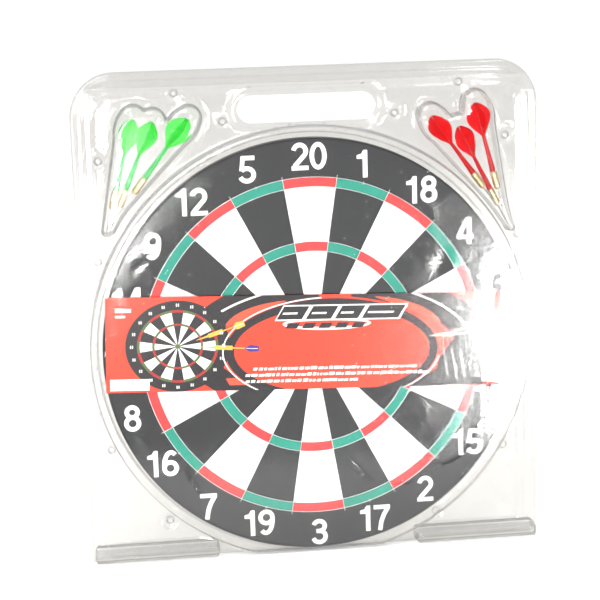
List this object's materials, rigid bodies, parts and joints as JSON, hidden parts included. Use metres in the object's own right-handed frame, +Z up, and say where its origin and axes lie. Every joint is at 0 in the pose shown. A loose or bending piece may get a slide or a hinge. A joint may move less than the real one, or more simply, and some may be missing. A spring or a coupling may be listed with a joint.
{
  "type": "dartboard set",
  "caption": "Round clock-face dartboard with wire grid, two sets of steel-tip darts and a printed card, packed in a clear hinged clamshell with a carry slot.",
  "frame": {"origin": "centre of the pack's bottom edge, on the surface it stands on", "axes": "+Z up the pack; -Y the way the playing face looks; +X to the right as the face is seen"},
  "size_m": [0.474, 0.0312, 0.508],
  "materials": {
    "clear_sheet": "clear, glossy",
    "card": "gloss printed card",
    "sticker": "matt paper",
    "wound_paper": "raw wound paper",
    "edge": "satin black band",
    "face_black": "printed, satin",
    "face_white": "printed, satin",
    "face_red": "printed, satin",
    "face_green": "printed, satin",
    "wire": "bright drawn wire",
    "hanger_black": "black coated wire",
    "steel": "bright steel",
    "brass": "turned brass",
    "green_stem": "translucent moulding",
    "green_flight": "translucent moulding",
    "red_stem": "translucent moulding",
    "red_flight": "translucent moulding"
  },
  "bodies": {
    "rear_shell": {"rear_flange": "clear_sheet", "rear_pan_wall": "clear_sheet", "rear_pan": "clear_sheet", "pan_rib": "clear_sheet", "rear_pocket_left": "clear_sheet", "rear_pocket_right": "clear_sheet", "rear_feet": "clear_sheet", "snap_sockets": "clear_sheet"},
    "front_shell": {"front_flange": "clear_sheet", "front_dome_wall": "clear_sheet", "front_window": "clear_sheet", "front_pocket_left": "clear_sheet", "front_pocket_right": "clear_sheet", "front_feet": "clear_sheet", "snap_studs": "clear_sheet", "label_card": "card", "price_sticker": "sticker", "code_sticker": "sticker"},
    "board": {"board_core": "wound_paper", "edge_band": "edge", "face_sheet": "face_black", "white_beds": "face_white", "red_beds": "face_red", "green_beds": "face_green", "numbers": "face_white", "ring_wires": "wire", "radial_wires": "wire", "wire_staples": "wire", "hanger_eyelets": "hanger_black"},
    "hanger": {"hanger_wire": "hanger_black"},
    "green_dart_1": {"green_dart_1_stem": "green_stem", "green_dart_1_flight": "green_flight"},
    "green_dart_1_head": {"green_dart_1_barrel": "brass", "green_dart_1_point": "steel"},
    "green_dart_2": {"green_dart_2_stem": "green_stem", "green_dart_2_flight": "green_flight"},
    "green_dart_2_head": {"green_dart_2_barrel": "brass", "green_dart_2_point": "steel"},
    "green_dart_3": {"green_dart_3_stem": "green_stem", "green_dart_3_flight": "green_flight"},
    "green_dart_3_head": {"green_dart_3_barrel": "brass", "green_dart_3_point": "steel"},
    "red_dart_1": {"red_dart_1_stem": "red_stem", "red_dart_1_flight": "red_flight"},
    "red_dart_1_head": {"red_dart_1_barrel": "brass", "red_dart_1_point": "steel"},
    "red_dart_2": {"red_dart_2_stem": "red_stem", "red_dart_2_flight": "red_flight"},
    "red_dart_2_head": {"red_dart_2_barrel": "brass", "red_dart_2_point": "steel"},
    "red_dart_3": {"red_dart_3_stem": "red_stem", "red_dart_3_flight": "red_flight"},
    "red_dart_3_head": {"red_dart_3_barrel": "brass", "red_dart_3_point": "steel"}
  },
  "joints": [
    {"name": "shell_hinge", "type": "hinge", "parent": "rear_shell", "child": "front_shell", "pos_m": [0, 0, 0], "axis": [1, 0, 0], "range_deg": [0, 180]},
    {"name": "board_tip_out", "type": "hinge", "parent": "rear_shell", "child": "board", "pos_m": [0, -0.0114, 0.004], "axis": [1, 0, 0], "range_deg": [0, 64]},
    {"name": "hanger_swing", "type": "hinge", "parent": "board", "child": "hanger", "pos_m": [0, 0.0059, 0.433], "axis": [1, 0, 0], "range_deg": [0, 160]},
    {"name": "green_dart_1_lift", "type": "slide", "parent": "rear_shell", "child": "green_dart_1", "axis": [0, -1, 0], "range_m": [0, 0.0945]},
    {"name": "green_dart_1_unscrew", "type": "hinge", "parent": "green_dart_1", "child": "green_dart_1_head", "pos_m": [-0.1749, -0.004, 0.4607], "axis": [0.2689, 0, 0.9632], "range_deg": [0, 2520]},
    {"name": "green_dart_2_lift", "type": "slide", "parent": "rear_shell", "child": "green_dart_2", "axis": [0, -1, 0], "range_m": [0, 0.0945]},
    {"name": "green_dart_2_unscrew", "type": "hinge", "parent": "green_dart_2", "child": "green_dart_2_head", "pos_m": [-0.1558, 0.003, 0.4571], "axis": [0.3939, 0, 0.9191], "range_deg": [0, 2520]},
    {"name": "green_dart_3_lift", "type": "slide", "parent": "rear_shell", "child": "green_dart_3", "axis": [0, -1, 0], "range_m": [0, 0.0945]},
    {"name": "green_dart_3_unscrew", "type": "hinge", "parent": "green_dart_3", "child": "green_dart_3_head", "pos_m": [-0.1203, -0.001, 0.4588], "axis": [0.617, 0, 0.7869], "range_deg": [0, 2520]},
    {"name": "red_dart_1_lift", "type": "slide", "parent": "rear_shell", "child": "red_dart_1", "axis": [0, -1, 0], "range_m": [0, 0.0945]},
    {"name": "red_dart_1_unscrew", "type": "hinge", "parent": "red_dart_1", "child": "red_dart_1_head", "pos_m": [0.127, -0.004, 0.4521], "axis": [-0.5835, 0, 0.8121], "range_deg": [0, 2520]},
    {"name": "red_dart_2_lift", "type": "slide", "parent": "rear_shell", "child": "red_dart_2", "axis": [0, -1, 0], "range_m": [0, 0.0945]},
    {"name": "red_dart_2_unscrew", "type": "hinge", "parent": "red_dart_2", "child": "red_dart_2_head", "pos_m": [0.1566, 0.003, 0.4399], "axis": [-0.4415, 0, 0.8973], "range_deg": [0, 2520]},
    {"name": "red_dart_3_lift", "type": "slide", "parent": "rear_shell", "child": "red_dart_3", "axis": [0, -1, 0], "range_m": [0, 0.0945]},
    {"name": "red_dart_3_unscrew", "type": "hinge", "parent": "red_dart_3", "child": "red_dart_3_head", "pos_m": [0.1726, -0.001, 0.4637], "axis": [-0.2538, 0, 0.9673], "range_deg": [0, 2520]}
  ],
  "couplings": [
    {"joint": "board_tip_out", "follows": "shell_hinge", "ratio": 0.35},
    {"joint": "hanger_swing", "follows": "shell_hinge", "ratio": 0.85},
    {"joint": "green_dart_1_lift", "follows": "shell_hinge", "m_per_rad": 0.03},
    {"joint": "green_dart_2_lift", "follows": "shell_hinge", "m_per_rad": 0.03},
    {"joint": "green_dart_3_lift", "follows": "shell_hinge", "m_per_rad": 0.03},
    {"joint": "red_dart_1_lift", "follows": "shell_hinge", "m_per_rad": 0.03},
    {"joint": "red_dart_2_lift", "follows": "shell_hinge", "m_per_rad": 0.03},
    {"joint": "red_dart_3_lift", "follows": "shell_hinge", "m_per_rad": 0.03}
  ]
}
